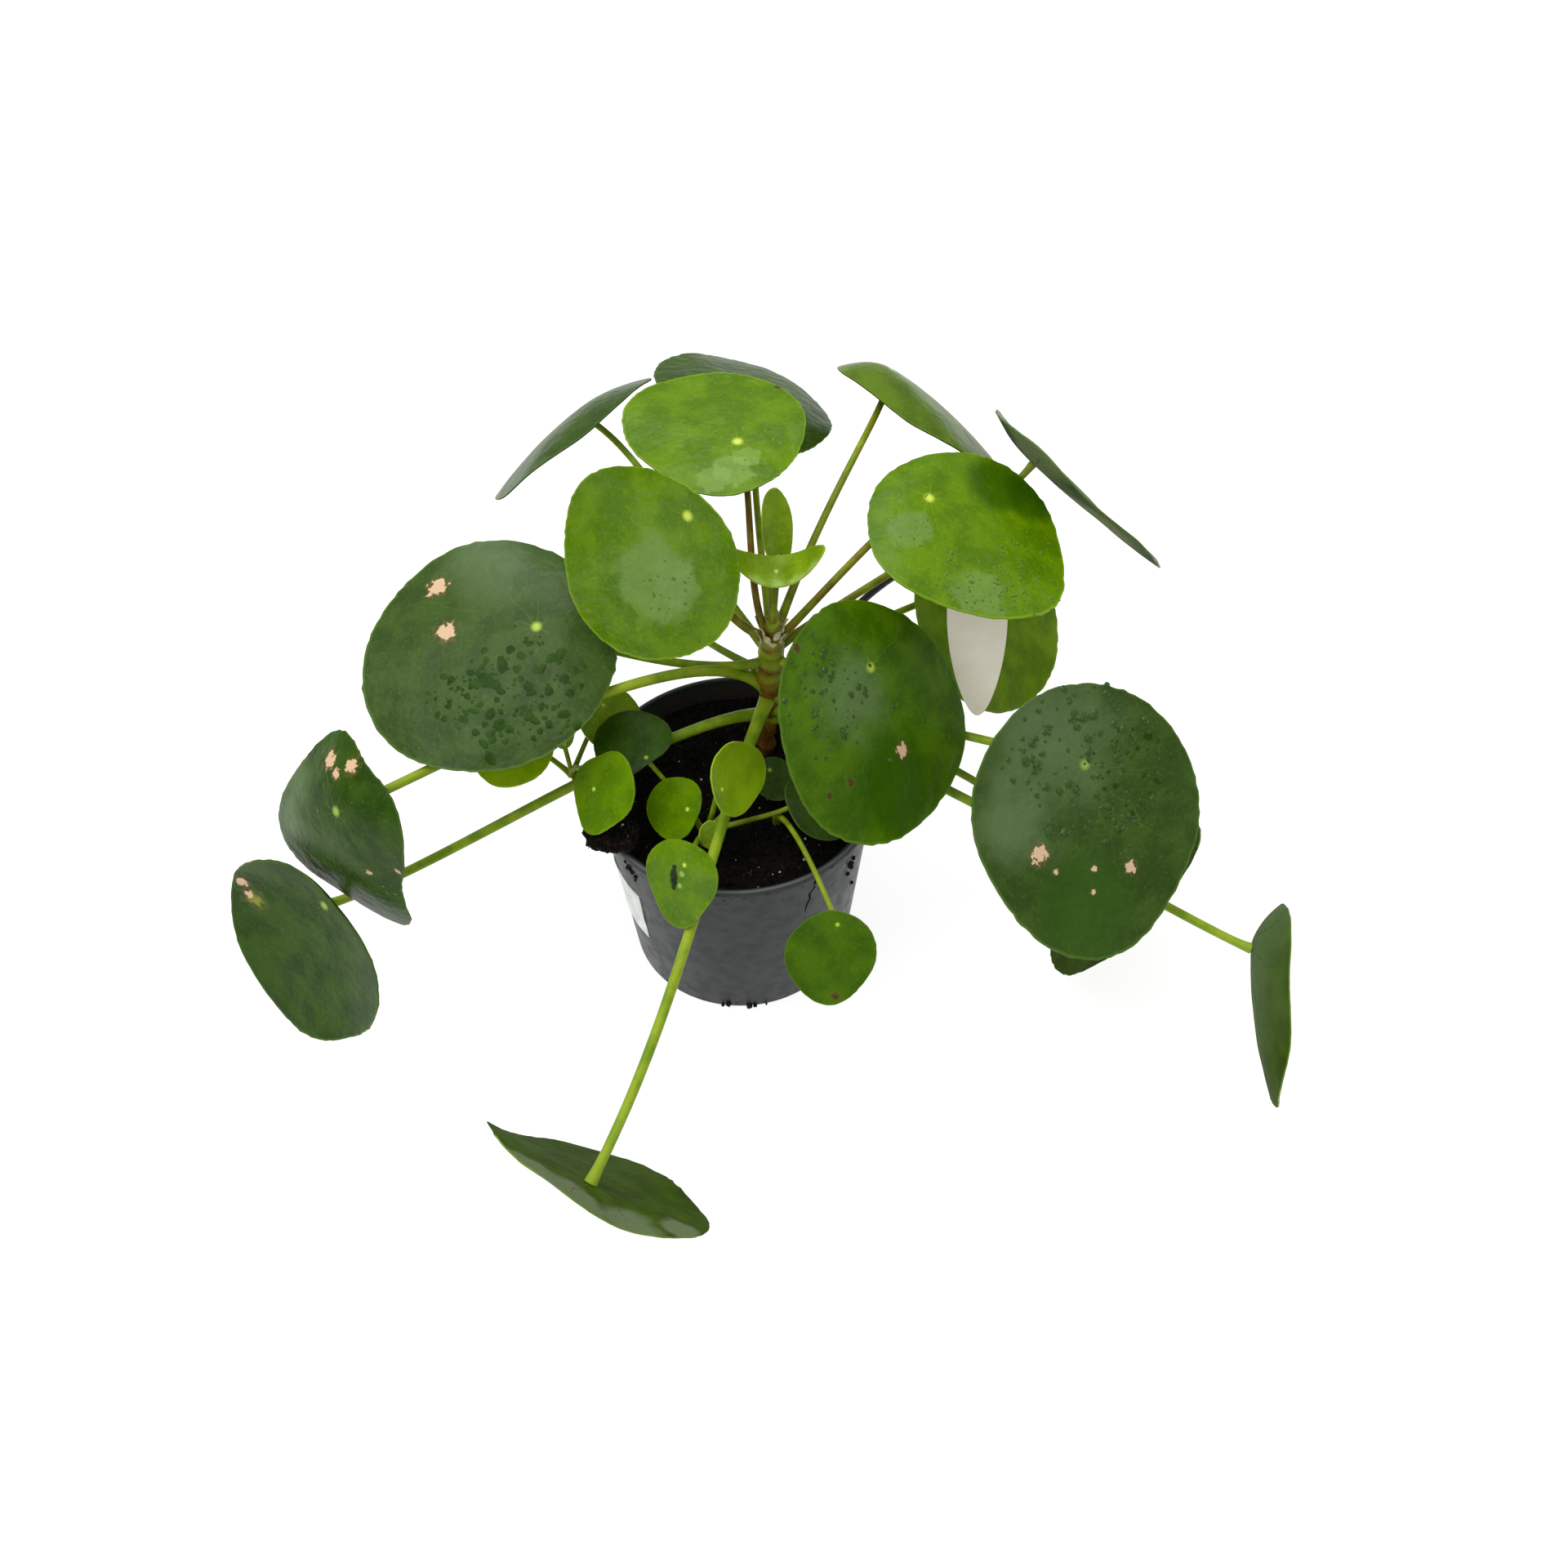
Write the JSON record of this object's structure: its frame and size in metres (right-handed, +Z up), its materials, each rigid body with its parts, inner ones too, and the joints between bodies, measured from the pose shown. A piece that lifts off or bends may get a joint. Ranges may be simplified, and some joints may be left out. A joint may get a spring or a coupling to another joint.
{
  "type": "potted chinese money plant",
  "caption": "Potted plant with flat round leaves on long arching stalks, in a tapered nursery pot filled with soil, with a blank hanging card.",
  "frame": {"origin": "centre of the pot's flat base, on the surface that it stands on", "axes": "+Z up, -Y towards the front as pictured, +X towards the plant's right-hand leaves"},
  "size_m": [0.4366, 0.3611, 0.2397],
  "materials": {
    "pot_plastic": "satin charcoal grey moulded plastic",
    "potting_soil": "rough near-black moist peat",
    "dark_leaf": "smooth dark green, slightly waxy",
    "bright_leaf": "smooth bright green, slightly glossy",
    "young_leaf": "smooth yellow-green, slightly glossy",
    "stem_green": "smooth yellow-green to olive, satin",
    "card": "uncoated beige card",
    "stake_plastic": "black plastic",
    "sticker_paper": "white paper"
  },
  "bodies": {
    "root": {"pot": "pot_plastic", "soil": "potting_soil", "soil_clump": "potting_soil", "main_stem": "stem_green", "front_pup_stem": "stem_green", "left_pup_stem": "stem_green", "sprout_petiole": "stem_green", "label_card": "card", "label_stake": "stake_plastic", "pot_sticker": "sticker_paper", "sprout_leaf": "dark_leaf", "leaf_left_large": "dark_leaf", "leaf_centre_left": "dark_leaf", "leaf_centre_top": "bright_leaf", "leaf_back_top": "dark_leaf", "leaf_back_left": "dark_leaf", "leaf_back_right": "dark_leaf", "leaf_right_bright": "dark_leaf", "leaf_far_right": "dark_leaf", "leaf_behind_label": "dark_leaf", "leaf_front_right": "dark_leaf", "leaf_right_large": "dark_leaf", "leaf_under_right": "dark_leaf", "leaf_low_right": "dark_leaf", "leaf_low_left": "dark_leaf", "leaf_lowest_left": "dark_leaf", "leaf_front_low": "dark_leaf", "leaf_hidden_left": "dark_leaf", "young_leaf_cupped": "young_leaf", "young_leaf_upright": "young_leaf", "front_pup_leaf_front": "bright_leaf", "front_pup_leaf_left": "bright_leaf", "front_pup_leaf_top": "dark_leaf", "front_pup_leaf_back": "dark_leaf", "front_pup_leaf_right": "dark_leaf", "front_pup_leaf_shaded": "dark_leaf", "front_pup_bud": "young_leaf", "left_pup_leaf_front": "bright_leaf", "left_pup_leaf_left": "young_leaf", "left_pup_leaf_back": "young_leaf", "left_pup_bud": "young_leaf"}
  },
  "joints": []
}
